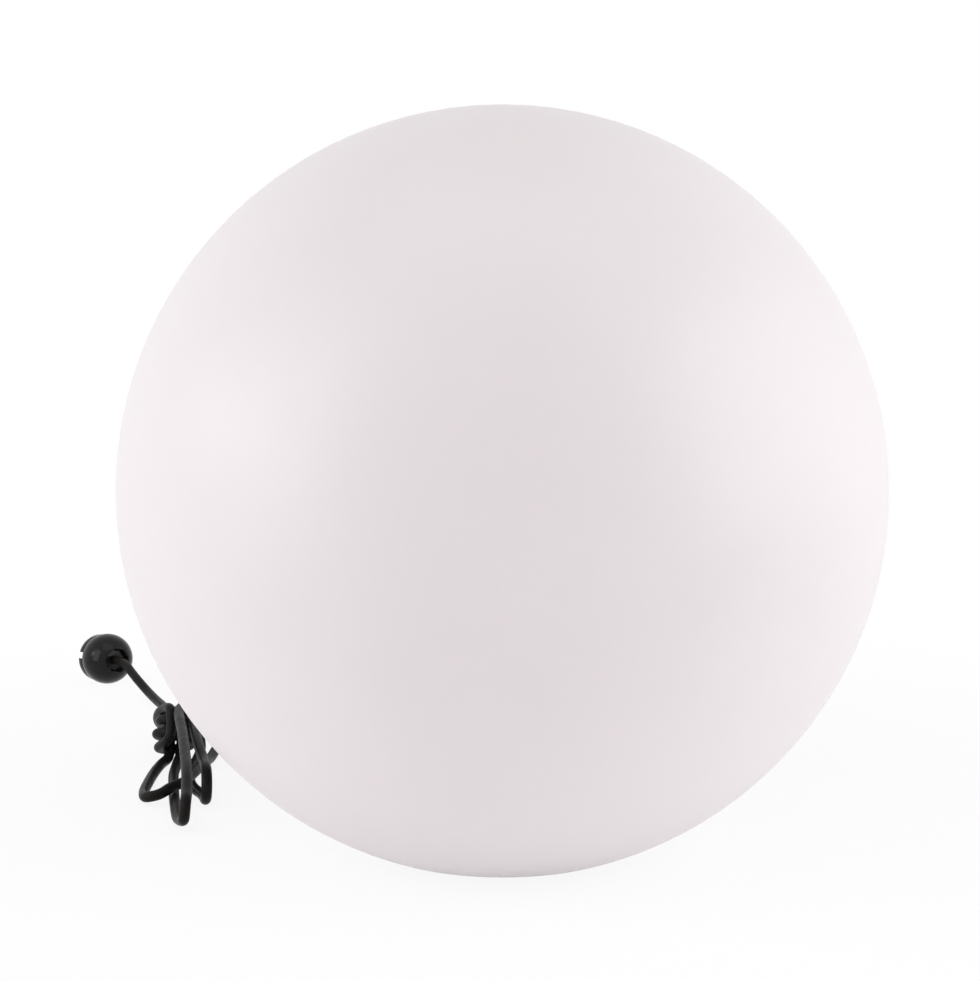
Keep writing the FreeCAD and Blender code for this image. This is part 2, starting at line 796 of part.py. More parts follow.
def tip_nodes(middle, heading, radius, lean, upper_first):
    """Half turn at the end of a loop: three places, each with its direction."""
    angle = math.radians(heading)
    lean_angle = math.radians(lean)
    ahead = V(math.cos(angle), math.sin(angle), 0)
    side = V(math.sin(angle), -math.cos(angle), 0)
    up = UP * math.cos(lean_angle) + side * math.sin(lean_angle)
    first = up if upper_first else up * -1
    return [(middle + first * radius, ahead),
            (middle + ahead * radius, first * -1),
            (middle - first * radius, ahead * -1)]


def winding_nodes():
    """Quarter turns of the cord round the waist, from its back, downwards."""
    along, side, out = waist_frame()
    rise = winding_pitch / (2 * math.pi)
    top = winding_pitch * (winding_turns + 0.5)
    nodes = []
    for quarter in range(4 * winding_turns + 2):
        angle = -math.pi / 2 * (quarter + 1)
        radial = side * math.cos(angle) + out * math.sin(angle)
        tangent = side * math.sin(angle) - out * math.cos(angle)
        place = waist_point(top - 0.25 * quarter * winding_pitch, 0, 0) + radial * winding_radius
        nodes.append((place, tangent * winding_radius - along * rise))
    return nodes


def hank_nodes():
    """Places and directions along the hank, in the order that the cord runs."""
    along, side, out = waist_frame()
    ahead = V(along.x, along.y, 0)
    slot = (cord_diameter + strand_spacing) / 2
    core_end = winding_pitch * (winding_turns + 0.4)
    bend = winding_radius * math.sin(math.radians(waist_rise))
    floor_place = waist_foot + UP * cord_radius - unit(ahead) * bend
    floor = cord_radius
    # from the lamp, over the middle and right loops' lower runs
    nodes = [(hank_start(), V(0, -1, 0)),
             (V(-179.6, 128, 7.9), V(0, -1, 0.12)),
             (V(-180.5, 97, 10.8), V(-0.15, -1, 0)),
             (V(-187, 75, 11.2), V(-0.8, -0.8, -0.1))]
    # left loop, flat on the floor
    nodes += [(V(-197.5, 68.8, 7.2), V(-1, -0.15, -0.35)),
              (V(-206.0, 78, floor + 0.6), V(-0.2, 1, 0)),
              (V(-209.0, 116, floor), V(-0.05, 1, 0)),
              (V(-209.8, 140, floor), V(0.05, 1, 0)),
              (floor_place - side * (slot + 2.6), ahead + side * 0.2),
              (waist_point(0, -slot, 0), along),
              (waist_point(core_end, -slot, 0), along)]
    # first far loop
    nodes += [(V(-203.5, 187.5, 31.6), V(0.05, 1, -0.1)),
              (V(-207, 235, 12), V(-0.05, 1, -0.35))]
    nodes += tip_nodes(V(-202, 318, floor), 92, 10.5, 90, False)
    nodes += [(V(-192, 235, 12), V(-0.1, -1, 0.35)),
              (V(-196.5, 187.5, 31.6), V(-0.05, -1, 0.1)),
              (waist_point(core_end, slot, 0), along * -1),
              (waist_point(0, slot, 0), along * -1),
              (floor_place + side * (slot - 1.2), (ahead + side * 0.15) * -1)]
    # middle loop, standing on edge
    nodes += [(V(-198.6, 136, floor), V(0.06, -1, 0)),
              (V(-192.3, 92, floor), V(0.16, -1, 0))]
    nodes += tip_nodes(V(-174.6, 28.5, floor + 9.8), 282, 10.0, -13, False)
    nodes += [(V(-187, 103, 30), V(-0.18, 1, 0.12)),
              (V(-198, 160, 36.4), V(-0.05, 1, 0)),
              (V(-188.6, 190, 33.6), V(0.2, 1, -0.25))]
    # second far loop
    nodes += tip_nodes(V(-168, 314, floor), 88, 10.5, 90, False)
    nodes += [(V(-177, 195, 31), V(-0.14, -1, 0.15)),
              (V(-187.8, 150, 34), V(0.08, -1, -0.05)),
              (V(-180, 115, 29.6), V(0.25, -1, -0.15))]
    # right loop, leaning
    nodes += tip_nodes(V(-169, 72, floor + 9.5), 283, 9.5, -6, True)
    nodes += [(V(-183, 106, floor), V(-0.25, 1, 0)),
              (V(-188.0, 150, floor), V(0, 1, 0)),
              (V(-188, 170, floor + 0.8), V(0.0, 1, 0.07)),
              (V(-189.8, 186, 12.5), V(-0.35, 0.35, 0.9))]
    # wound down the waist, then up its front and over the top
    nodes += winding_nodes()
    nodes += [(waist_point(8.5, -3.6, 17.0), along - out * 0.2),
              (V(-205.6, 166, 36.6), V(-0.3, 1, 0)),
              (V(-212.0, 182, 34.0), V(-0.35, 1, -0.35)),
              (V(-216.5, 207, 20), V(-0.12, 1, -0.55))]
    return nodes


def biarc(start, start_heading, end, end_heading):
    """Two tangent arcs between two places with given directions."""
    chord = end - start
    total = start_heading + end_heading
    spread = 2 * (1 - start_heading.dot(end_heading))
    along = chord.dot(total)
    if spread < 1e-9:
        reach = chord.dot(chord) / (2 * along)
    else:
        reach = (-along + math.sqrt(along ** 2 + spread * chord.dot(chord))) / spread
    middle = (start + end + (start_heading - end_heading) * reach) * 0.5
    return [single_arc(start, start_heading, middle),
            single_arc(end, end_heading * -1, middle)]


def single_arc(start, heading, end):
    """Arc from a place in a direction to another place: its points and radius."""
    chord = end - start
    normal = chord - heading * chord.dot(heading)
    if normal.Length < 1e-4:
        return start, None, end, math.inf
    normal = unit(normal)
    radius = chord.dot(chord) / (2 * chord.dot(normal))
    half = math.atan2(chord.dot(normal), chord.dot(heading))
    middle = start + normal * (radius * (1 - math.cos(half))) + heading * (radius * math.sin(half))
    return start, middle, end, radius


def hank_edges():
    """Edges of the hank's centre line and its arc radii."""
    nodes = hank_nodes()
    edges = []
    radii = []
    for (a, a_heading), (b, b_heading) in zip(nodes, nodes[1:]):
        first, second = biarc(a, unit(a_heading), b, unit(b_heading))
        second = (second[2], second[1], second[0], second[3])
        for start, middle, end, radius in (first, second):
            if middle is None:
                edges.append(Part.LineSegment(start, end).toShape())
            else:
                edges.append(arc_edge(start, middle, end))
            radii.append(radius)
    return edges, radii


def least_gap(points, step, radius):
    """Least free space between parts of a tube that are not neighbours along it."""
    skip = int(math.pi * radius * 2.2 / step) + 1
    least = math.inf
    place = None
    for i, a in enumerate(points):
        for j in range(i + skip, len(points)):
            b = points[j]
            if abs(a.x - b.x) < 10 and abs(a.y - b.y) < 10 and abs(a.z - b.z) < 10:
                distance = (a - b).Length
                if distance < least:
                    least = distance
                    place = a
    return least - 2 * radius, place


def cord_hank():
    """The hank as one unbroken tube."""
    edges, radii = hank_edges()
    start, heading = hank_nodes()[0]
    solid = sweep(edges, cord_radius, start, heading)
    length = sum(edge.Length for edge in edges)
    report_tube("cord_hank", solid, cord_radius, length)
    print("cord_hank: least radius %.1f mm" % min(radii))
    step = 1.5
    points = Part.Wire(edges).discretize(Distance=step)
    free, place = least_gap(points, step, cord_radius)
    print("cord_hank: least gap to itself %.2f mm at (%.0f, %.0f, %.0f)" % (free, *place))
    return [solid]


# ---- plug ------------------------------------------------------------------------------------
def plug_axis():
    """The way the pins point."""
    heading = math.radians(plug_heading)
    dip = math.radians(plug_dip)
    return V(math.cos(heading) * math.cos(dip), math.sin(heading) * math.cos(dip), -math.sin(dip))


def plug_middle():
    """Middle of the plug's ball, resting on the floor."""
    return V(plug_place.x, plug_place.y, plug_radius)


def plug_back_plane():
    """Distance from the ball's middle to the flat at its back."""
    return math.sqrt(plug_radius ** 2 - plug_back_radius ** 2)


def in_plug(shape):
    """Move a shape made along +Z, with its notches on X, to the plug's place."""
    axis = plug_axis()
    side = unit(axis.cross(UP))
    over = axis.cross(side)
    matrix = FreeCAD.Matrix(side.x, over.x, axis.x, 0, side.y, over.y, axis.y, 0,
                            side.z, over.z, axis.z, 0, 0, 0, 0, 1)
    place = FreeCAD.Placement(matrix)
    roll = FreeCAD.Placement(ORIGIN, FreeCAD.Rotation(UP, plug_roll))
    moved = shape.copy()
    here = FreeCAD.Placement(plug_middle(), place.Rotation).multiply(roll)
    moved.Placement = here.multiply(shape.Placement)
    return moved


def plug_body():
    """Rubber body with a ball-shaped back, a recess for the cord and two side notches."""
    back = -plug_back_plane()
    shoulder_z = math.sqrt(plug_radius ** 2 - plug_face_radius ** 2)
    face_edge = 1.2
    body = turned([(0, back + plug_recess), (plug_back_radius - 1.2, back + plug_recess),
                   (plug_back_radius, back),
                   (plug_face_radius, shoulder_z, plug_radius, 0),
                   (plug_face_radius, plug_front - face_edge),
                   (plug_face_radius - face_edge, plug_front),
                   (0, plug_front)])
    for side in (-1, 1):
        notch = Part.makeBox(plug_notch_depth + 2, plug_notch_width, plug_notch_length + 1,
                             V(0, -plug_notch_width / 2, plug_front - plug_notch_length))
        x = plug_face_radius - plug_notch_depth if side > 0 else -plug_face_radius - 2
        body = body.cut(notch.translated(V(x, 0, 0)))
    for hole in pin_places():
        body = body.cut(drum(pin_root_radius + snug / 2, plug_front - pin_depth, plug_front + 1,
                             hole))
    body = body.cut(drum(face_plate_radius, plug_front - face_plate_depth, plug_front + 1))
    return [in_plug(body)]


def pin_places():
    """Middles of the two pins, square to the line of the notches."""
    return [V(0, side * pin_spacing / 2, 0) for side in (-1, 1)]


def plug_face():
    """Hard insulating plate that holds the pins."""
    plate = drum(face_plate_radius - snug / 2, plug_front - face_plate_depth, plug_front)
    for at in pin_places():
        plate = plate.cut(drum(pin_root_radius + snug / 2, plug_front - face_plate_depth - 1,
                               plug_front + 1, at))
    return [in_plug(plate)]


def plug_pins():
    """Two round pins, each with a shoulder on the plate and a thinner root below it."""
    pins = []
    for at in pin_places():
        end = plug_front + pin_length
        z0 = plug_front - pin_depth
        pin = turned([(0, z0), (pin_root_radius, z0), (pin_root_radius, plug_front),
                      (pin_radius, plug_front), (pin_radius, end - 1.6),
                      (pin_radius - 1.4, end, pin_radius - 0.5, end - 0.6), (0, end)])
        pins.append(in_plug(pin.translated(at)))
    return pins


# ---- assembly --------------------------------------------------------------------------------
NODES = {
    "globe_shell": globe_shell,
    "globe_inserts": globe_inserts,
    "base_housing": base_housing,
    "base_gasket": base_gasket,
    "neck_seal": neck_seal,
    "globe_screws": globe_screws,
    "rubber_pads": rubber_pads,
    "bottom_cover": bottom_cover,
    "cover_gasket": cover_gasket,
    "cover_screws": cover_screws,
    "holder_post": holder_post,
    "post_screws": post_screws,
    "holder_cap": holder_cap,
    "holder_skirt": holder_skirt,
    "holder_core": holder_core,
    "holder_shell": holder_shell,
    "centre_contact": centre_contact,
    "holder_terminals": holder_terminals,
    "lamp_tip": lamp_tip,
    "lamp_insulator": lamp_insulator,
    "lamp_cap": lamp_cap,
    "lamp_body": lamp_body,
    "led_board": led_board,
    "lamp_dome": lamp_dome,
    "terminal_block": terminal_block,
    "terminal_tubes": terminal_tubes,
    "terminal_screws": terminal_screws,
    "cord_end": cord_end,
    "brown_conductor": lambda: conductor("brown_conductor", 1, 1),
    "blue_conductor": lambda: conductor("blue_conductor", -1, 0),
    "brown_holder_wire": lambda: holder_wire("brown_holder_wire", 1, 1),
    "blue_holder_wire": lambda: holder_wire("blue_holder_wire", 0, -1),
    "clamp_bar": clamp_bar,
    "clamp_screws": clamp_screws,
    "strain_relief": strain_relief,
    "lamp_lead": lambda: [laid_tube("lamp_lead", lamp_lead_points(), cord_radius)],
    "cord_hank": cord_hank,
    "plug_lead": lambda: [laid_tube("plug_lead", plug_lead_points(), cord_radius)],
    "plug_body": plug_body,
    "plug_face": plug_face,
    "plug_pins": plug_pins,
}


def main():
    os.makedirs("parts", exist_ok=True)
    for name, make in NODES.items():
        solids = make()
        shape = solids[0] if len(solids) == 1 else Part.makeCompound(solids)
        count = len(shape.Solids)
        if not shape.isValid():
            print(f"{name}: NOT VALID")
        print(f"{name}: {count} solid(s), {shape.Volume / 1000:.2f} cm3")
        shape.exportStep(f"parts/{name}.step")


if __name__ == "__main__":
    main()
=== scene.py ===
"""Garden globe light: finishes, cord, plug and studio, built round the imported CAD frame.

Everything is in metres in the frame's own axes: the floor is z = 0, the photographed front
faces -Y, and the cord leaves the base to +Y and lies to the left.
"""
import math

import bmesh
import bpy
from bpy.props import FloatProperty, FloatVectorProperty, IntProperty, PointerProperty
from mathutils import Matrix, Vector


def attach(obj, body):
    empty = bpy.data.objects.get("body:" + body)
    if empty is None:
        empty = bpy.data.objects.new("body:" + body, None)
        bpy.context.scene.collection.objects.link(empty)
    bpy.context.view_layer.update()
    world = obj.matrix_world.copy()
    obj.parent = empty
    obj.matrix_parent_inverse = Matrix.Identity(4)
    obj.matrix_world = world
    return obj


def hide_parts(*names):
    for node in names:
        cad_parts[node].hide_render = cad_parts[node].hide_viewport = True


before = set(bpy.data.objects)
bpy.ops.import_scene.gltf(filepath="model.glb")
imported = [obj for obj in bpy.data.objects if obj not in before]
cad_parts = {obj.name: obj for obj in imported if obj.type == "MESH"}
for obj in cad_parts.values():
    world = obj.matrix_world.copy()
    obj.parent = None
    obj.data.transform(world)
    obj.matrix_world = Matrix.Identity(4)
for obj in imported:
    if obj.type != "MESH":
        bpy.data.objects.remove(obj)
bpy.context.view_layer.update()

bl_info = {
    "name": "Garden Globe Light",
    "version": (1, 0, 0),
    "blender": (4, 5, 0),
    "location": "View3D > Sidebar > Globe Light",
    "description": "Dresses a frosted garden globe light with its cord, hank and plug",
    "category": "Object",
}

MM = 0.001
# lower than the globe's radius of 0.2 m, because the globe is cut flat underneath
GLOBE_MIDDLE = Vector((0.0, 0.0, 0.18885))


# ---- sizes and colours that a user would change --------------------------------------------
class GlobeFinishes(bpy.types.PropertyGroup):
    """Colours and gloss of the light's materials"""
    globe_colour: FloatVectorProperty(
        name="Globe", description="Colour of the frosted plastic globe",
        subtype="COLOR", size=3, min=0.0, max=1.0, default=(0.815, 0.775, 0.785))
    globe_roughness: FloatProperty(
        name="Globe roughness", description="0 is polished, 1 is chalky",
        min=0.05, max=1.0, default=0.42)
    rubber_colour: FloatVectorProperty(
        name="Cord", description="Colour of the cord's and the plug's rubber",
        subtype="COLOR", size=3, min=0.0, max=1.0, default=(0.0105, 0.0098, 0.0092))
    housing_colour: FloatVectorProperty(
        name="Base", description="Colour of the moulded base",
        subtype="COLOR", size=3, min=0.0, max=1.0, default=(0.022, 0.022, 0.023))
    lamp_colour: FloatVectorProperty(
        name="Lamp", description="Colour of the lamp's plastic",
        subtype="COLOR", size=3, min=0.0, max=1.0, default=(0.80, 0.80, 0.78))


class CordSizes(bpy.types.PropertyGroup):
    """Sizes of the free cord and its hank"""
    diameter: FloatProperty(
        name="Cord diameter", description="Outer diameter of the cord's sheath",
        subtype="DISTANCE", unit="LENGTH", min=0.003, max=0.012, default=0.0062)
    length: FloatProperty(
        name="Cord length", description="From the strain relief to the plug",
        subtype="DISTANCE", unit="LENGTH", min=0.5, max=5.0, default=2.275)
    winding_radius: FloatProperty(
        name="Winding radius", description="Middle of the waist to the middle of a turn",
        subtype="DISTANCE", unit="LENGTH", min=0.006, max=0.03, default=0.0102)
    winding_pitch: FloatProperty(
        name="Winding pitch", description="Distance between the turns round the waist",
        subtype="DISTANCE", unit="LENGTH", min=0.0065, max=0.03, default=0.0084)
    winding_turns: IntProperty(
        name="Turns", description="Whole turns round the waist", min=1, max=6, default=2)


class StudioSettings(bpy.types.PropertyGroup):
    """Light and camera"""
    camera_distance: FloatProperty(
        name="Camera distance", description="Camera to the middle of the globe",
        subtype="DISTANCE", unit="LENGTH", min=0.5, max=5.0, default=1.084)
    camera_height: FloatProperty(
        name="Camera angle", description="How far the camera looks down",
        subtype="ANGLE", unit="ROTATION", min=0.0, max=1.5, default=math.radians(6.8))
    focal_length: FloatProperty(
        name="Focal length", description="On a 36 mm wide sensor",
        subtype="DISTANCE_CAMERA", min=20.0, max=300.0, default=75.71)
    lamp_level: FloatProperty(
        name="Lamps", description="Level of all the soft boxes together",
        subtype="FACTOR", min=0.0, max=4.0, default=1.0)
    sky_strength: FloatProperty(
        name="Room light", description="Strength of the light from all round",
        min=0.0, max=2.0, default=0.428)


# ---- finishes --------------------------------------------------------------------------------
class Finish:
    """One material: its node tree, its shader and the texture space of the piece."""

    def __init__(self, name, colour, roughness, metallic=0.0):
        self.material = bpy.data.materials.new(name)
        self.material.use_nodes = True
        self.tree = self.material.node_tree
        self.tree.nodes.clear()
        self.output = self.add("ShaderNodeOutputMaterial")
        self.shader = self.add("ShaderNodeBsdfPrincipled")
        self.link(self.shader.outputs["BSDF"], self.output.inputs["Surface"])
        self.space = self.add("ShaderNodeTexCoord")
        self.colour = tuple(colour)
        self.shader.inputs["Base Color"].default_value = (*colour, 1.0)
        self.shader.inputs["Roughness"].default_value = roughness
        self.shader.inputs["Metallic"].default_value = metallic
        self.material.diffuse_color = (*colour, 1.0)

    def add(self, kind):
        return self.tree.nodes.new(kind)

    def link(self, source, target):
        self.tree.links.new(source, target)

    def clouds(self, scale, detail=3.0, stretch=(1.0, 1.0, 1.0)):
        """Soft noise in metres: the scale is in cells per metre."""
        mapping = self.add("ShaderNodeMapping")
        mapping.inputs["Scale"].default_value = stretch
        self.link(self.space.outputs["Object"], mapping.inputs["Vector"])
        noise = self.add("ShaderNodeTexNoise")
        noise.inputs["Scale"].default_value = scale
        noise.inputs["Detail"].default_value = detail
        self.link(mapping.outputs["Vector"], noise.inputs["Vector"])
        return noise.outputs["Fac"]

    def grains(self, scale):
        """Fine cells, such as a spark-eroded mould leaves."""
        cells = self.add("ShaderNodeTexVoronoi")
        cells.inputs["Scale"].default_value = scale
        self.link(self.space.outputs["Object"], cells.inputs["Vector"])
        return cells.outputs["Distance"]

    def between(self, value, low, high, out_low, out_high, course="LINEAR"):
        """Value stretched from one range to another, evenly or in a smooth course."""
        spread = self.add("ShaderNodeMapRange")
        spread.interpolation_type = course
        spread.inputs["From Min"].default_value = low
        spread.inputs["From Max"].default_value = high
        spread.inputs["To Min"].default_value = out_low
        spread.inputs["To Max"].default_value = out_high
        self.link(value, spread.inputs["Value"])
        return spread.outputs["Result"]

    def tint(self, value, darker, lighter):
        """Base colour that drifts between two shades."""
        ramp = self.add("ShaderNodeValToRGB")
        ramp.color_ramp.elements[0].position = 0.32
        ramp.color_ramp.elements[0].color = (*darker, 1.0)
        ramp.color_ramp.elements[1].position = 0.68
        ramp.color_ramp.elements[1].color = (*lighter, 1.0)
        self.link(value, ramp.inputs["Fac"])
        self.link(ramp.outputs["Color"], self.shader.inputs["Base Color"])
        return self

    def drift(self, scale, share, detail=3.0):
        """Base colour that varies by a small share of itself."""
        darker = tuple(max(0.0, c * (1.0 - share)) for c in self.colour)
        lighter = tuple(min(1.0, c * (1.0 + share)) for c in self.colour)
        return self.tint(self.clouds(scale, detail), darker, lighter)

    def gloss(self, scale, low, high, detail=2.0):
        """Roughness that varies in patches."""
        value = self.between(self.clouds(scale, detail), 0.3, 0.7, low, high)
        self.link(value, self.shader.inputs["Roughness"])
        return self

    def relief(self, value, distance, strength=1.0):
        """Bump from a height value."""
        bump = self.add("ShaderNodeBump")
        bump.inputs["Strength"].default_value = strength
        bump.inputs["Distance"].default_value = distance
        self.link(value, bump.inputs["Height"])
        last = self.shader.inputs["Normal"]
        if last.is_linked:
            self.link(last.links[0].from_socket, bump.inputs["Normal"])
        self.link(bump.outputs["Normal"], last)
        return self

    def sockets(self, **values):
        """Fixed values set on the shader's own sockets."""
        for name, value in values.items():
            self.shader.inputs[name.replace("_", " ")].default_value = value
        return self


def frosted_plastic(colour, roughness):
    """Rotomoulded globe wall: pale, faintly mottled, with a fine matt skin."""
    made = Finish("frosted_white", colour, roughness)
    made.drift(9.0, 0.012, 2.0)
    made.gloss(14.0, roughness - 0.02, roughness + 0.03)
    made.relief(made.clouds(900.0, 2.0), 0.00004, 0.5)
    made.relief(made.clouds(60.0, 2.0), 0.00012, 0.25)
    made.sockets(Subsurface_Weight=0.12, Subsurface_Scale=0.006, Specular_IOR_Level=0.5,
                 Sheen_Weight=0.03, Sheen_Roughness=0.6)
    made.shader.inputs["Subsurface Radius"].default_value = (1.0, 0.8, 0.75)
    return made.material


def moulded_plastic(name, colour, roughness=0.5, grain=1500.0):
    """Moulded plastic with a fine grain."""
    made = Finish(name, colour, roughness)
    made.drift(40.0, 0.10)
    made.gloss(55.0, roughness - 0.06, roughness + 0.08)
    made.relief(made.grains(grain), 0.00006, 0.35)
    return made.material


def dull_rubber(name, colour, roughness=0.6, shine=0.075):
    """Black rubber: powdery bloom in patches and fine pores."""
    made = Finish(name, colour, roughness)
    bloom = made.clouds(70.0, 5.0)
    made.tint(bloom, tuple(0.75 * c for c in colour), tuple(min(1.0, 1.35 * c) for c in colour))
    made.gloss(120.0, roughness - 0.08, roughness + 0.08)
    made.relief(made.clouds(2600.0, 2.0), 0.00003, 0.15)
    made.relief(made.clouds(220.0, 2.0), 0.0001, 0.08)
    made.sockets(Specular_IOR_Level=shine)
    return made.material


def plated_metal(name, colour, roughness=0.25):
    """Plated screw metal with turning marks."""
    made = Finish(name, colour, roughness, 1.0)
    made.drift(180.0, 0.12)
    made.gloss(400.0, roughness - 0.07, roughness + 0.15)
    made.relief(made.clouds(700.0, 2.0, stretch=(1.0, 1.0, 12.0)), 0.00002, 0.4)
    return made.material


def bare_brass(name, colour, roughness=0.28):
    """Stamped brass, a little stained."""
    made = Finish(name, colour, roughness, 1.0)
    stain = made.clouds(160.0, 4.0)
    made.tint(stain, tuple(0.72 * c for c in colour), colour)
    made.gloss(260.0, roughness - 0.06, roughness + 0.18)
    made.relief(made.clouds(1200.0, 2.0), 0.00002, 0.3)
    return made.material


def white_ceramic(name, colour):
    """Pressed steatite, unglazed, with fine pits."""
    made = Finish(name, colour, 0.55)
    made.drift(90.0, 0.05)
    made.relief(made.grains(2200.0), 0.00005, 0.4)
    made.sockets(Specular_IOR_Level=0.45)
    return made.material


def opal_plastic(name, colour):
    """Milky diffuser that lets light through."""
    made = Finish(name, colour, 0.38)
    made.drift(30.0, 0.02)
    made.relief(made.clouds(1400.0, 2.0), 0.00002, 0.3)
    made.sockets(Subsurface_Weight=0.35, Subsurface_Scale=0.004, Transmission_Weight=0.06)
    return made.material


def smooth_insulation(name, colour, roughness=0.35):
    """Extruded wire insulation, slightly ribbed by the strands inside."""
    made = Finish(name, colour, roughness)
    made.drift(150.0, 0.08)
    made.gloss(200.0, roughness - 0.05, roughness + 0.08)
    made.relief(made.clouds(900.0, 2.0), 0.00005, 0.3)
    return made.material


def dress(node, material):
    """Put a finish on a CAD node that keeps its shape."""
    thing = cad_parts[node]
    thing.data.materials.clear()
    thing.data.materials.append(material)
    return thing


def linked_mesh(context, name, work):
    """Object of a finished bmesh."""
    mesh = bpy.data.meshes.new(name)
    work.to_mesh(mesh)
    work.free()
    thing = bpy.data.objects.new(name, mesh)
    context.scene.collection.objects.link(thing)
    return thing


def settle_modifiers(context, thing):
    """Replace a mesh by what its modifiers make of it."""
    context.view_layer.update()
    graph = context.evaluated_depsgraph_get()
    mesh = bpy.data.meshes.new_from_object(thing.evaluated_get(graph))
    thing.modifiers.clear()
    thing.data = mesh


# ---- cord route, in millimetres ---------------------------------------------------------------
CORD_RADIUS_MM = 3.1
ON_FLOOR = CORD_RADIUS_MM                   # height of a strand that lies on the floor
WAIST_FOOT = Vector((-201.5, 165.3, 0.0))
WAIST_HEADING = math.radians(92.0)
WAIST_RISE = math.radians(60.0)
STRAND_GAP = 0.7                            # between the two strands inside the waist
POINTS_PER_TURN = 12
# the middle turn's slack: share of the radius, then its place and width in turns
SLACK, SLACK_TURN, SLACK_SPREAD = 0.15, 1.25, 0.17
LEAVE_REACH = 24.0                          # straight run after the hank's last place

PLUG_BALL, PLUG_BACK, PLUG_RECESS = 18.2, 8.9, 4.0    # ball and back radii, recess's depth
PLUG_MIDDLE = Vector((-288.0, 401.0, PLUG_BALL))
PLUG_HEADING = math.radians(128.1)
PLUG_DIP = math.radians(4.2)

LAMP_LEAD = [(0, 82.5, 15.6), (0, 102.5, 15.6), (-2, 132.5, 6.1), (-19, 172, ON_FLOOR),
             (-54, 208, ON_FLOOR), (-104, 230, ON_FLOOR), (-146, 238, ON_FLOOR),
             (-176, 222, ON_FLOOR), (-180, 198, ON_FLOOR)]


def level_axes(heading):
    """Directions on the floor: ahead at a heading, and to its right."""
    return (Vector((math.cos(heading), math.sin(heading), 0.0)),
            Vector((math.sin(heading), -math.cos(heading), 0.0)))


def waist_axes():
    """Directions of the waist: along it, to its right, and out towards the front and up."""
    ahead, side = level_axes(WAIST_HEADING)
    up = Vector((0.0, 0.0, 1.0))
    along = ahead * math.cos(WAIST_RISE) + up * math.sin(WAIST_RISE)
    out = ahead * -math.sin(WAIST_RISE) + up * math.cos(WAIST_RISE)
    return along, side, out


def waist_point(winding_radius, along, across, out):
    """Point of the waist: along its axis, to the right of it and out from it."""
    a, s, n = waist_axes()
    foot = winding_radius * math.cos(WAIST_RISE) + CORD_RADIUS_MM
    return WAIST_FOOT + Vector((0, 0, foot)) + a * along + s * across + n * out


def tip_nodes(middle, heading, radius, lean, upper_first):
    """Half turn at the end of a loop: three places, each with its direction."""
    ahead, side = level_axes(math.radians(heading))
    lean_angle = math.radians(lean)
    up = Vector((0, 0, 1)) * math.cos(lean_angle) + side * math.sin(lean_angle)
    first = up if upper_first else -up
    middle = Vector(middle)
    return [(middle + first * radius, ahead), (middle + ahead * radius, -first),
            (middle - first * radius, -ahead)]


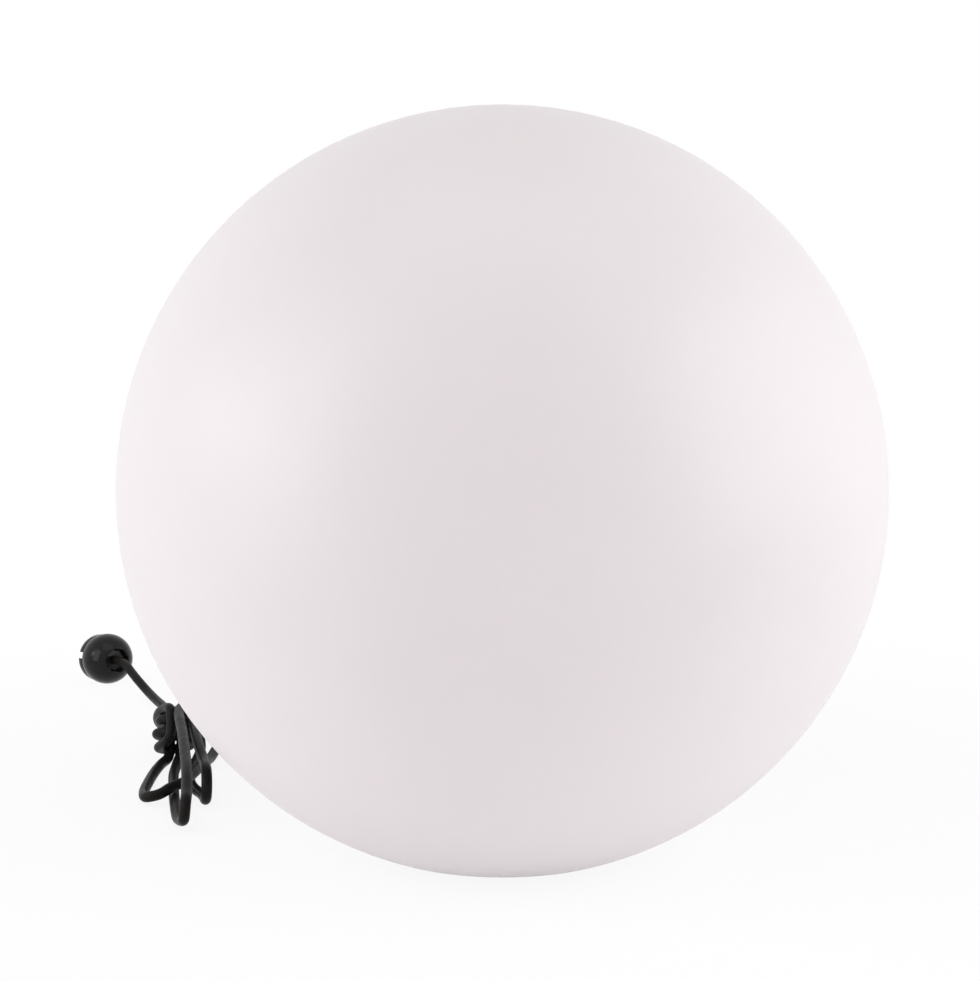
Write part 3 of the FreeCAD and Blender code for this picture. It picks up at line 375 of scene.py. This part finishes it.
def strands_before_winding(sizes):
    """Places and directions along the hank's loops, in the order that the cord runs."""
    radius = sizes.winding_radius / MM
    pitch = sizes.winding_pitch / MM
    along, side, _ = waist_axes()
    ahead, _ = level_axes(WAIST_HEADING)
    slot = (2 * CORD_RADIUS_MM + STRAND_GAP) / 2
    core_end = pitch * (sizes.winding_turns + 0.4)
    foot = WAIST_FOOT + Vector((0, 0, ON_FLOOR)) - ahead * (radius * math.sin(WAIST_RISE))

    # from the lamp, over the middle and right loops' lower runs
    nodes = [((-180, 176, ON_FLOOR), (0, -1, 0)),
             ((-179.6, 128, 9.6), (0, -1, 0.10)),
             ((-180.8, 97, 11.2), (-0.15, -1, 0)),
             ((-187, 76, 10.2), (-0.8, -0.8, -0.1))]
    # left loop, flat on the floor, then up inside the waist
    nodes += [((-198.3, 67.6, 6.3), (-1, 0, -0.22)),
              ((-205.9, 78, ON_FLOOR + 0.9), (-0.16, 1, -0.02)),
              ((-208.9, 120, ON_FLOOR), (-0.02, 1, 0)),
              ((-208.3, 150, ON_FLOOR), (0.06, 1, 0)),
              (waist_point(radius, 0, -slot, 0), along),
              (waist_point(radius, core_end, -slot, 0), along)]
    # first far loop, hidden behind the globe
    nodes += [((-203, 187.5, 28.6), (0.05, 1, -0.1)),
              ((-207, 235, 12), (-0.05, 1, -0.35))]
    nodes += tip_nodes((-202, 318, ON_FLOOR), heading=92, radius=10.5, lean=90,
                       upper_first=False)
    nodes += [((-192, 235, 12), (-0.1, -1, 0.35)),
              ((-196, 187.5, 28.6), (-0.05, -1, 0.1)),
              (waist_point(radius, core_end, slot, 0), -along),
              (waist_point(radius, 0, slot, 0), -along),
              (foot + side * (slot - 1.2), side * 0.05 - ahead)]
    # middle loop: out along the floor, round its tip and back on top
    nodes += [((-195.3, 118, ON_FLOOR), (0.165, -1, 0)),
              ((-187.6, 73, ON_FLOOR), (0.185, -1, 0)),
              ((-180.4, 36.5, ON_FLOOR), (0.22, -1, 0)),
              ((-176.0, 23.0, 4.6), (0.36, -1, 0.22)),
              ((-172.4, 13.0, 12.0), (0.08, 0.12, 1)),
              ((-173.8, 31, 21.2), (-0.14, 1, 0.32)),
              ((-186, 99, 32.2), (-0.19, 1, 0.10)),
              ((-196.6, 151, 35.6), (-0.17, 1, 0.03)),
              ((-190.6, 190, 34.2), (0.25, 1, -0.25))]
    # second far loop, hidden behind the globe
    nodes += tip_nodes((-168, 314, ON_FLOOR), heading=88, radius=10.5, lean=90,
                       upper_first=False)
    nodes += [((-177, 195, 31), (-0.14, -1, 0.15)),
              ((-187.6, 150, 32), (0.14, -1, -0.05)),
              ((-180.8, 115, 29), (0.24, -1, -0.15))]
    # right loop, standing on its edge, then up behind the waist
    tip_radius = 9.5
    nodes += tip_nodes((-169.6, 72, ON_FLOOR + tip_radius), heading=283, radius=tip_radius,
                       lean=-2, upper_first=True)
    nodes += [((-183, 106, ON_FLOOR), (-0.25, 1, 0)),
              ((-188, 150, ON_FLOOR), (0, 1, 0)),
              ((-188, 170, ON_FLOOR + 0.8), (0, 1, 0.07)),
              ((-189.8, 186, 12.5), (-0.35, 0.35, 0.9))]
    return nodes


def strands_after_winding(sizes):
    """Up the waist's front, over its top and away towards the plug."""
    radius = sizes.winding_radius / MM
    along, _, out = waist_axes()
    return [(waist_point(radius, 9.0, -0.9, 16.9), along - out * 0.12),
            ((-204.4, 164, 35.2), (-0.40, 1, -0.12)),
            ((-215.0, 185.6, 26.0), (-0.28, 1, -0.62)),
            ((-217.8, 212, 13.5), (-0.10, 1, -0.26))]


def guides(nodes):
    """Two control points between each pair of places, on the directions through them.

    They are twice as far from each other as each is from its place, so that the bend is even."""
    points = []
    placed = [(Vector(place), Vector(way).normalized()) for place, way in nodes]
    for (start, leave), (end, arrive) in zip(placed, placed[1:]):
        chord = end - start
        span = chord.dot(chord)
        run = chord.dot(leave + arrive)
        turned = 2 * (1 - leave.dot(arrive))
        if turned < 1e-9:
            reach = span / (2 * run)
        else:
            reach = (-run + math.sqrt(run ** 2 + turned * span)) / turned
        points += [start + leave * reach, end - arrive * reach]
    return points


def winding(sizes):
    """Control points of the turns round the waist, from its back, downwards.

    The middle turn is slack and stands out to the left."""
    _, side, out = waist_axes()
    pitch = sizes.winding_pitch / MM
    radius = sizes.winding_radius / MM
    reach = radius / math.cos(math.pi / POINTS_PER_TURN)
    top = pitch * (sizes.winding_turns + 0.5)
    points = []
    for step in range(int(POINTS_PER_TURN * (sizes.winding_turns + 0.25)) + 1):
        turn = (step + 0.5) / POINTS_PER_TURN
        angle = -2 * math.pi * turn - math.pi / 2
        slack = 1 + SLACK * math.exp(-((turn - SLACK_TURN) / SLACK_SPREAD) ** 2)
        place = waist_point(radius, top - pitch * turn, 0, 0)
        points.append(place + (side * math.cos(angle) + out * math.sin(angle)) * reach * slack)
    return points


def plug_axis():
    """The way the plug's pins point."""
    level = math.cos(PLUG_DIP)
    return Vector((math.cos(PLUG_HEADING) * level, math.sin(PLUG_HEADING) * level,
                   -math.sin(PLUG_DIP)))


def plug_lead():
    """Control points from the waist along the floor and up into the plug's back."""
    back = plug_axis() * -1
    flat = math.sqrt(PLUG_BALL ** 2 - PLUG_BACK ** 2)
    entry = PLUG_MIDDLE + back * (flat - PLUG_RECESS)
    return [(-222, 272, 4.0), (-230.3, 306, ON_FLOOR), (-244.3, 338, ON_FLOOR),
            entry + back * 30 + Vector((0, -4, -8)), entry + back * 14, entry]


def cord_route(sizes):
    """All control points, from the base through the hank to the plug."""
    turns = winding(sizes)
    before = strands_before_winding(sizes) + [(turns[0], turns[1] - turns[0])]
    after = [(turns[-1], turns[-1] - turns[-2])] + strands_after_winding(sizes)
    end, heading = after[-1]
    away = Vector(end) + Vector(heading).normalized() * LEAVE_REACH
    return ([Vector(place) for place in LAMP_LEAD] + guides(before)[:-1] + turns
            + guides(after)[1:] + [away] + [Vector(place) for place in plug_lead()])


# ---- operators -------------------------------------------------------------------------------
class GLOBELIGHT_OT_cord(bpy.types.Operator):
    """Lay the mains cord from the base through the hank to the plug"""
    bl_idname = "globelight.cord"
    bl_label = "Cord"

    def execute(self, context):
        sizes = context.scene.globelight_cord
        finishes = context.scene.globelight_finishes
        route = cord_route(sizes)
        curve = bpy.data.curves.new("mains_cord", "CURVE")
        curve.dimensions = "3D"
        curve.bevel_depth = sizes.diameter / 2
        curve.bevel_resolution = 7
        curve.resolution_u = 10
        curve.use_fill_caps = True
        spline = curve.splines.new("NURBS")
        spline.points.add(len(route) - 1)
        for point, place in zip(spline.points, route):
            point.co = (*(place * MM), 1.0)
        spline.order_u = 3
        spline.use_endpoint_u = True
        cord = bpy.data.objects.new("mains_cord", curve)
        context.scene.collection.objects.link(cord)
        curve.materials.append(dull_rubber("cord_rubber", finishes.rubber_colour, 0.42))
        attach(cord, "base")
        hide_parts("lamp_lead", "cord_hank", "plug_lead")
        return {"FINISHED"}


class GLOBELIGHT_OT_plug(bpy.types.Operator):
    """Make the round rubber plug with its eight-sided cord recess, notches and pin holes"""
    bl_idname = "globelight.plug"
    bl_label = "Plug"

    SIDES = 128
    FACE, FRONT, FACE_EDGE = 17.0, 12.5, 1.2     # face's radius, height and rounding
    LIP = 9.2                                    # where the recess's rim meets the ball
    GROOVE = 0.22                                # depth of the parting groove
    PLATE, PLATE_DEPTH = 13.2, 1.6               # seat of the face plate
    NOTCH = (4.6, 3.2, 9.0)                      # width, depth and length
    PIN, PIN_SPACING, PIN_DEPTH = 2.05, 19.0, 8.0
    ROLL = 13.0                                  # degrees about the plug's own axis

    def execute(self, context):
        finishes = context.scene.globelight_finishes
        rubber = dull_rubber("plug_rubber", finishes.rubber_colour, 0.19, 0.16)
        body = self.turned_body(context)
        self.cut_away(context, body)
        body.data.transform(self.place())
        body.data.materials.clear()
        body.data.materials.append(rubber)
        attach(body, "base")
        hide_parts("plug_body")
        dress("plug_face", moulded_plastic("plug_plate", (0.018, 0.018, 0.019), 0.45))
        dress("plug_pins", plated_metal("pin_nickel", (0.66, 0.65, 0.62), 0.18))
        return {"FINISHED"}

    def place(self):
        """From millimetres along +Z, with the notches on X, to the plug's place in metres."""
        axis = plug_axis()
        side = axis.cross(Vector((0, 0, 1))).normalized()
        over = axis.cross(side)
        turn = Matrix((side, over, axis)).transposed().to_4x4()
        return (Matrix.Translation(PLUG_MIDDLE * MM) @ turn
                @ Matrix.Rotation(math.radians(self.ROLL), 4, "Z") @ Matrix.Scale(MM, 4))

    def octagon(self, angle, apothem, roundness):
        """Radius of an eight-sided outline, or part of the way to a circle."""
        eighth = math.pi / 4
        flat = apothem / math.cos((angle + eighth / 2) % eighth - eighth / 2)
        return flat * (1 - roundness) + apothem * 1.03 * roundness

    def outline(self):
        """Rings from the recess's floor, over the ball, to the face.

        Each has its size, its height and how round it is. The size is an octagon's apothem,
        where 0 is eight-sided and 1 is round, or with None a plain circle's radius."""
        back = -math.sqrt(PLUG_BALL ** 2 - PLUG_BACK ** 2)
        floor = back + PLUG_RECESS
        rings = [(3.6, floor, 1.0), (6.6, floor, 0.1), (7.3, floor + 0.15, 0.0),
                 (7.6, floor + 0.6, 0.0), (7.9, back + 1.1, 0.0), (8.1, back + 0.5, 0.05),
                 (8.5, back + 0.12, 0.2)]
        low = math.asin(-math.sqrt(PLUG_BALL ** 2 - self.LIP ** 2) / PLUG_BALL)
        shoulder = math.sqrt(PLUG_BALL ** 2 - self.FACE ** 2)
        high = math.asin(shoulder / PLUG_BALL)
        steps = 30
        for step in range(steps + 1):
            angle = low + (high - low) * step / steps
            rings.append((PLUG_BALL * math.cos(angle), PLUG_BALL * math.sin(angle), None))
        # parting groove, then the straight part up to the face's rounded edge
        rings += [(self.FACE - self.GROOVE, shoulder + 0.15, None),
                  (self.FACE - self.GROOVE, shoulder + 0.45, None),
                  (self.FACE, shoulder + 0.6, None),
                  (self.FACE, self.FRONT - self.FACE_EDGE, None)]
        edge_steps = 4
        for step in range(1, edge_steps + 1):
            angle = math.pi / 2 * step / edge_steps
            rings.append((self.FACE + self.FACE_EDGE * (math.cos(angle) - 1),
                          self.FRONT + self.FACE_EDGE * (math.sin(angle) - 1), None))
        rings += [(self.PLATE + 0.2, self.FRONT, None),
                  (self.PLATE, self.FRONT - 0.2, None),
                  (self.PLATE, self.FRONT - self.PLATE_DEPTH, None),
                  (6.0, self.FRONT - self.PLATE_DEPTH, None)]
        return rings

    def turned_body(self, context):
        """Rings of vertices joined into one closed skin."""
        work = bmesh.new()
        outline = self.outline()
        rings = []
        for radius, height, roundness in outline:
            ring = []
            for step in range(self.SIDES):
                angle = 2 * math.pi * step / self.SIDES
                reach = radius if roundness is None else self.octagon(angle, radius, roundness)
                ring.append(work.verts.new((reach * math.cos(angle), reach * math.sin(angle),
                                            height)))
            rings.append(ring)
        for lower, upper in zip(rings, rings[1:]):
            for step in range(self.SIDES):
                after = (step + 1) % self.SIDES
                work.faces.new((lower[step], lower[after], upper[after], upper[step]))
        for end in (0, -1):
            ring = rings[end]
            middle = work.verts.new((0, 0, outline[end][1]))
            for step in range(self.SIDES):
                work.faces.new((middle, ring[step], ring[(step + 1) % self.SIDES]))
        bmesh.ops.recalc_face_normals(work, faces=work.faces)
        for face in work.faces:
            face.smooth = True
        return linked_mesh(context, "plug_shell", work)

    def cut_away(self, context, body):
        """Side notches and pin holes, cut out of the skin."""
        width, depth, length = self.NOTCH
        past_side, past_face = 2, 1              # how far a cutter stands out of the skin
        work = bmesh.new()
        for side in (-1, 1):
            cutter = bmesh.ops.create_cube(work, size=1.0)["verts"]
            bmesh.ops.scale(work, verts=cutter,
                            vec=(depth + past_side, width, length + past_face))
            bmesh.ops.translate(work, verts=cutter, vec=(
                side * (self.FACE - depth + (depth + past_side) / 2), 0,
                self.FRONT - length + (length + past_face) / 2))
        for side in (-1, 1):
            cutter = bmesh.ops.create_cone(work, cap_ends=True, segments=48, radius1=self.PIN,
                                           radius2=self.PIN, depth=self.PIN_DEPTH)["verts"]
            bmesh.ops.translate(work, verts=cutter, vec=(
                0, side * self.PIN_SPACING / 2, self.FRONT - self.PIN_DEPTH / 2))
        cutters = linked_mesh(context, "plug_cutters", work)
        cut = body.modifiers.new("cut", "BOOLEAN")
        cut.operation = "DIFFERENCE"
        cut.solver = "EXACT"
        cut.object = cutters
        edge = body.modifiers.new("edge", "BEVEL")
        edge.width = 0.3
        edge.segments = 2
        edge.limit_method = "ANGLE"
        edge.angle_limit = math.radians(55)
        settle_modifiers(context, body)
        bpy.data.objects.remove(cutters)


class GLOBELIGHT_OT_globe(bpy.types.Operator):
    """Finish the globe and its inserts"""
    bl_idname = "globelight.globe"
    bl_label = "Globe"

    def execute(self, context):
        finishes = context.scene.globelight_finishes
        dress("globe_shell", frosted_plastic(finishes.globe_colour, finishes.globe_roughness))
        dress("globe_inserts", bare_brass("insert_brass", (0.60, 0.42, 0.16)))
        return {"FINISHED"}


class GLOBELIGHT_OT_base(bpy.types.Operator):
    """Finish the base, its seals, pads and screws"""
    bl_idname = "globelight.base"
    bl_label = "Base"

    def execute(self, context):
        finishes = context.scene.globelight_finishes
        housing = moulded_plastic("base_black", finishes.housing_colour, 0.48)
        seal = dull_rubber("seal_rubber", (0.016, 0.016, 0.016), 0.7)
        steel = plated_metal("screw_zinc", (0.52, 0.52, 0.50), 0.3)
        for node in ("base_housing", "bottom_cover", "clamp_bar"):
            dress(node, housing)
        for node in ("base_gasket", "neck_seal", "cover_gasket", "rubber_pads", "strain_relief"):
            dress(node, seal)
        for node in ("globe_screws", "cover_screws", "clamp_screws", "post_screws"):
            dress(node, steel)
        return {"FINISHED"}


class GLOBELIGHT_OT_wiring(bpy.types.Operator):
    """Finish the wires and the terminal block"""
    bl_idname = "globelight.wiring"
    bl_label = "Wiring"

    def execute(self, context):
        finishes = context.scene.globelight_finishes
        brown = smooth_insulation("brown_wire", (0.075, 0.026, 0.010))
        blue = smooth_insulation("blue_wire", (0.012, 0.075, 0.32))
        dress("brown_conductor", brown)
        dress("brown_holder_wire", brown)
        dress("blue_conductor", blue)
        dress("blue_holder_wire", blue)
        dress("cord_end", dull_rubber("sheath_rubber", finishes.rubber_colour, 0.5))
        dress("terminal_block", moulded_plastic("block_nylon", (0.62, 0.60, 0.54), 0.4))
        dress("terminal_tubes", bare_brass("terminal_brass", (0.62, 0.44, 0.18)))
        dress("terminal_screws", plated_metal("terminal_zinc", (0.52, 0.52, 0.50)))
        return {"FINISHED"}


class GLOBELIGHT_OT_holder(bpy.types.Operator):
    """Finish the post and the lampholder"""
    bl_idname = "globelight.holder"
    bl_label = "Lampholder"

    def execute(self, context):
        white = moulded_plastic("holder_white", (0.72, 0.71, 0.67), 0.42)
        for node in ("holder_post", "holder_cap", "holder_skirt"):
            dress(node, white)
        dress("holder_core", white_ceramic("holder_ceramic", (0.74, 0.72, 0.67)))
        brass = bare_brass("contact_brass", (0.66, 0.47, 0.19))
        dress("holder_shell", brass)
        dress("centre_contact", brass)
        dress("holder_terminals", plated_metal("holder_zinc", (0.52, 0.52, 0.50)))
        return {"FINISHED"}


class GLOBELIGHT_OT_lamp(bpy.types.Operator):
    """Finish the lamp"""
    bl_idname = "globelight.lamp"
    bl_label = "Lamp"

    def execute(self, context):
        finishes = context.scene.globelight_finishes
        dress("lamp_cap", plated_metal("cap_nickel", (0.62, 0.60, 0.56), 0.24))
        dress("lamp_tip", plated_metal("tip_solder", (0.45, 0.45, 0.44), 0.38))
        dress("lamp_insulator", smooth_insulation("cap_glass", (0.008, 0.008, 0.009), 0.12))
        dress("lamp_body", moulded_plastic("lamp_white", finishes.lamp_colour, 0.36, 1900.0))
        dress("led_board", moulded_plastic("board_white", (0.78, 0.78, 0.77), 0.4))
        dress("lamp_dome", opal_plastic("lamp_opal", (0.86, 0.86, 0.84)))
        return {"FINISHED"}


class GLOBELIGHT_OT_stage(bpy.types.Operator):
    """Set up the floor, the lights and the camera"""
    bl_idname = "globelight.stage"
    bl_label = "Stage"

    # name, azimuth from the camera's side, elevation, distance, width and height, power, colour
    LAMPS = (("left_front_box", -62, 14, 1.55, (0.8, 1.7), 10.1, (1.0, 0.98, 0.99)),
             ("right_front_box", 62, 14, 1.55, (0.8, 1.7), 9.9, (1.0, 0.975, 0.985)),
             ("left_side_box", -86, 16, 1.45, (0.06, 0.3), 1.9, (0.86, 0.94, 1.0)),
             ("right_side_box", 97, 14, 1.45, (1.0, 1.6), 4.6, (0.88, 0.95, 1.0)),
             ("top_box", 0, 78, 1.6, (1.5, 1.2), 4.7, (1.0, 1.0, 1.0)))
    FLOOR_SIZE = 30.0
    FLOOR_GLOW = 0.12                            # keeps the globe's underside light
    FADE_FROM, FADE_TO = 0.22, 0.75              # distances from the middle in metres
    WHITE_INSIDE = 0.86                          # share of plain white seen before the fade
    SENSOR_WIDTH = 36.0
    SHIFT_X, SHIFT_Y = -0.01276, 0.0008

    def execute(self, context):
        settings = context.scene.globelight_studio
        self.floor(context)
        self.room(context, settings)
        for lamp in self.LAMPS:
            self.soft_box(context, settings.lamp_level, *lamp)
        self.camera(context, settings)
        return {"FINISHED"}

    def seen_directly(self, tree):
        """One where the camera, a gloss or a glass sees the surface, nought for its light."""
        path = tree.nodes.new("ShaderNodeLightPath")
        value = path.outputs["Is Camera Ray"]
        for name in ("Is Glossy Ray", "Is Transmission Ray"):
            either = tree.nodes.new("ShaderNodeMath")
            either.operation = "MAXIMUM"
            tree.links.new(value, either.inputs[0])
            tree.links.new(path.outputs[name], either.inputs[1])
            value = either.outputs[0]
        return value

    def floor(self, context):
        """Wide white floor that keeps a soft shadow round the light and fades to plain white."""
        work = bmesh.new()
        bmesh.ops.create_grid(work, x_segments=1, y_segments=1, size=self.FLOOR_SIZE)
        floor = linked_mesh(context, "floor", work)
        made = Finish("floor_white", (0.92, 0.92, 0.92), 0.9)
        made.sockets(Specular_IOR_Level=0.0, Emission_Color=(1.0, 0.97, 0.97, 1.0),
                     Emission_Strength=self.FLOOR_GLOW)
        place = made.add("ShaderNodeNewGeometry")
        reach = made.add("ShaderNodeVectorMath")
        reach.operation = "LENGTH"
        made.link(place.outputs["Position"], reach.inputs[0])
        fade = made.between(reach.outputs["Value"], self.FADE_FROM, self.FADE_TO,
                            self.WHITE_INSIDE, 1.0, "SMOOTHSTEP")
        share = made.add("ShaderNodeMath")
        share.operation = "MULTIPLY"
        made.link(self.seen_directly(made.tree), share.inputs[0])
        made.link(fade, share.inputs[1])
        white = made.add("ShaderNodeEmission")
        mix = made.add("ShaderNodeMixShader")
        made.link(share.outputs[0], mix.inputs[0])
        made.link(made.shader.outputs["BSDF"], mix.inputs[1])
        made.link(white.outputs["Emission"], mix.inputs[2])
        made.link(mix.outputs[0], made.output.inputs["Surface"])
        floor.data.materials.append(made.material)

    def room(self, context, settings):
        """Pale light from all round, white where it is seen past the floor."""
        world = bpy.data.worlds.new("room")
        context.scene.world = world
        world.use_nodes = True
        tree = world.node_tree
        tree.nodes.clear()
        out = tree.nodes.new("ShaderNodeOutputWorld")
        seen = tree.nodes.new("ShaderNodeBackground")
        seen.inputs["Color"].default_value = (1, 1, 1, 1)
        light = tree.nodes.new("ShaderNodeBackground")
        light.inputs["Color"].default_value = (1.0, 0.95, 0.955, 1)
        light.inputs["Strength"].default_value = settings.sky_strength
        mix = tree.nodes.new("ShaderNodeMixShader")
        tree.links.new(self.seen_directly(tree), mix.inputs[0])
        tree.links.new(light.outputs[0], mix.inputs[1])
        tree.links.new(seen.outputs[0], mix.inputs[2])
        tree.links.new(mix.outputs[0], out.inputs[0])

    def soft_box(self, context, level, name, azimuth, elevation, distance, size, power, colour):
        """Soft rectangular light that faces the globe; the azimuth is nought at the front."""
        turn, rise = math.radians(azimuth), math.radians(elevation)
        away = Vector((math.sin(turn) * math.cos(rise), -math.cos(turn) * math.cos(rise),
                       math.sin(rise)))
        data = bpy.data.lights.new(name, "AREA")
        data.shape = "RECTANGLE"
        data.size, data.size_y = size
        data.energy = power * level
        data.color = colour
        light = bpy.data.objects.new(name, data)
        light.location = GLOBE_MIDDLE + away * distance
        light.rotation_euler = (-away).to_track_quat("-Z", "Y").to_euler()
        context.scene.collection.objects.link(light)

    def camera(self, context, settings):
        """Camera at the photograph's angle and distance."""
        data = bpy.data.cameras.new("camera")
        data.sensor_fit = "HORIZONTAL"
        data.sensor_width = self.SENSOR_WIDTH
        data.lens = settings.focal_length
        data.shift_x = self.SHIFT_X
        data.shift_y = self.SHIFT_Y
        camera = bpy.data.objects.new("camera", data)
        angle = settings.camera_height
        reach = settings.camera_distance
        away = Vector((0, -reach * math.cos(angle), reach * math.sin(angle)))
        camera.location = GLOBE_MIDDLE + away
        camera.rotation_euler = (-away).to_track_quat("-Z", "Y").to_euler()
        context.scene.collection.objects.link(camera)
        context.scene.camera = camera


class GLOBELIGHT_PT_panel(bpy.types.Panel):
    """Buttons for each group of pieces"""
    bl_idname = "GLOBELIGHT_PT_panel"
    bl_label = "Globe Light"
    bl_space_type = "VIEW_3D"
    bl_region_type = "UI"
    bl_category = "Globe Light"

    def draw(self, context):
        layout = self.layout
        for operator in PIECES:
            layout.operator(operator.bl_idname)
        for group in (context.scene.globelight_finishes, context.scene.globelight_cord,
                      context.scene.globelight_studio):
            box = layout.box()
            for name in group.__annotations__:
                box.prop(group, name)


PIECES = (GLOBELIGHT_OT_stage, GLOBELIGHT_OT_plug, GLOBELIGHT_OT_cord, GLOBELIGHT_OT_globe,
          GLOBELIGHT_OT_base, GLOBELIGHT_OT_wiring, GLOBELIGHT_OT_holder, GLOBELIGHT_OT_lamp)
CLASSES = (GlobeFinishes, CordSizes, StudioSettings) + PIECES + (GLOBELIGHT_PT_panel,)


def register():
    for cls in CLASSES:
        bpy.utils.register_class(cls)
    bpy.types.Scene.globelight_finishes = PointerProperty(type=GlobeFinishes)
    bpy.types.Scene.globelight_cord = PointerProperty(type=CordSizes)
    bpy.types.Scene.globelight_studio = PointerProperty(type=StudioSettings)


def unregister():
    del bpy.types.Scene.globelight_studio
    del bpy.types.Scene.globelight_cord
    del bpy.types.Scene.globelight_finishes
    for cls in reversed(CLASSES):
        bpy.utils.unregister_class(cls)


def main():
    register()
    bpy.context.scene.view_settings.view_transform = "Standard"
    bpy.ops.globelight.stage()
    bpy.ops.globelight.plug()
    bpy.ops.globelight.cord()
    bpy.ops.globelight.globe()
    bpy.ops.globelight.base()
    bpy.ops.globelight.wiring()
    bpy.ops.globelight.holder()
    bpy.ops.globelight.lamp()


if __name__ == "__main__":
    main()
